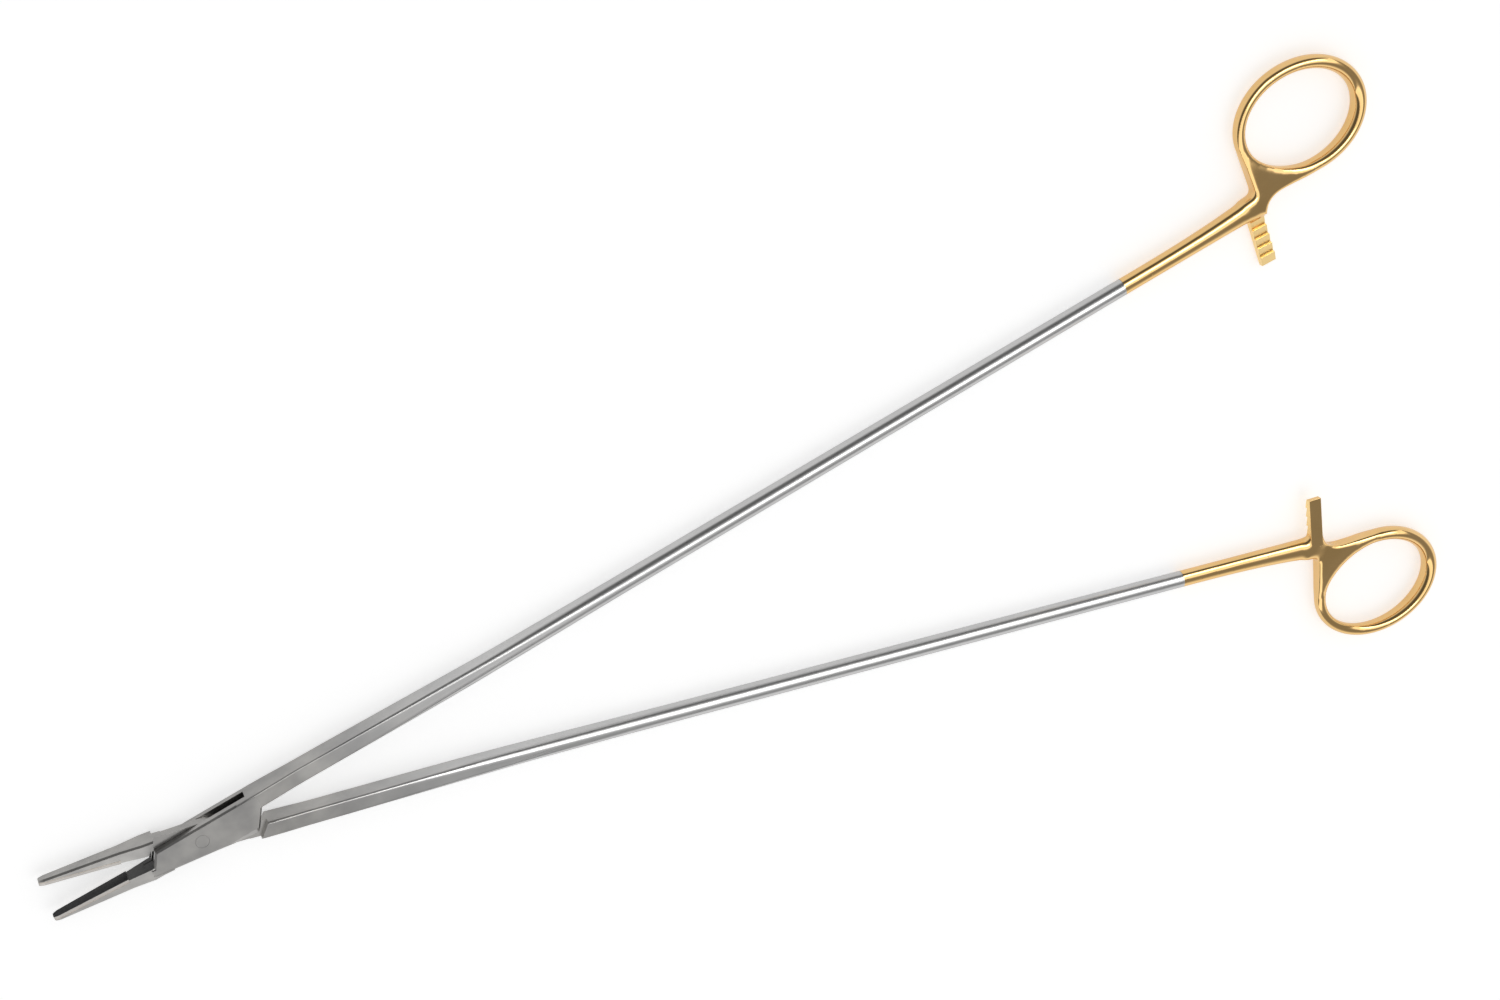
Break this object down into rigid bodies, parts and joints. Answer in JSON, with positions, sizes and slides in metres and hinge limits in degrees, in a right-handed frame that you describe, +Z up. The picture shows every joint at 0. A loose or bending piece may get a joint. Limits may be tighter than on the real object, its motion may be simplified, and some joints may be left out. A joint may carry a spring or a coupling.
{
  "type": "needle holder",
  "caption": "Long ring-handled surgical needle holder with a box lock, carbide-faced jaws, slender steel shanks, a ratchet and gold-plated finger rings.",
  "frame": {"origin": "on the pivot axis, at the underside of the box lock, which rests on the table", "axes": "+X along the midline from the jaws to the rings, +Y towards the box half's shank, +Z up along the pivot"},
  "size_m": [0.3441, 0.1552, 0.006],
  "materials": {
    "steel": "satin on the box and jaws, polished on the shanks",
    "gold_plate": "polished gold plate",
    "carbide": "ground tungsten carbide",
    "braze": "bright silver braze",
    "pin_steel": "ground flush with the box"
  },
  "bodies": {
    "box_side": {"box_half": "steel", "box_half_handle": "gold_plate", "box_jaw_insert": "carbide", "box_jaw_braze": "braze", "pivot_pin": "pin_steel"},
    "tongue_side": {"tongue_half": "steel", "tongue_half_handle": "gold_plate", "tongue_jaw_insert": "carbide", "tongue_jaw_braze": "braze"}
  },
  "joints": [
    {"name": "box_lock_hinge", "type": "hinge", "parent": "box_side", "child": "tongue_side", "pos_m": [0, 0, 0], "axis": [0, 0, -1], "range_deg": [-13.6, 31.4]}
  ]
}
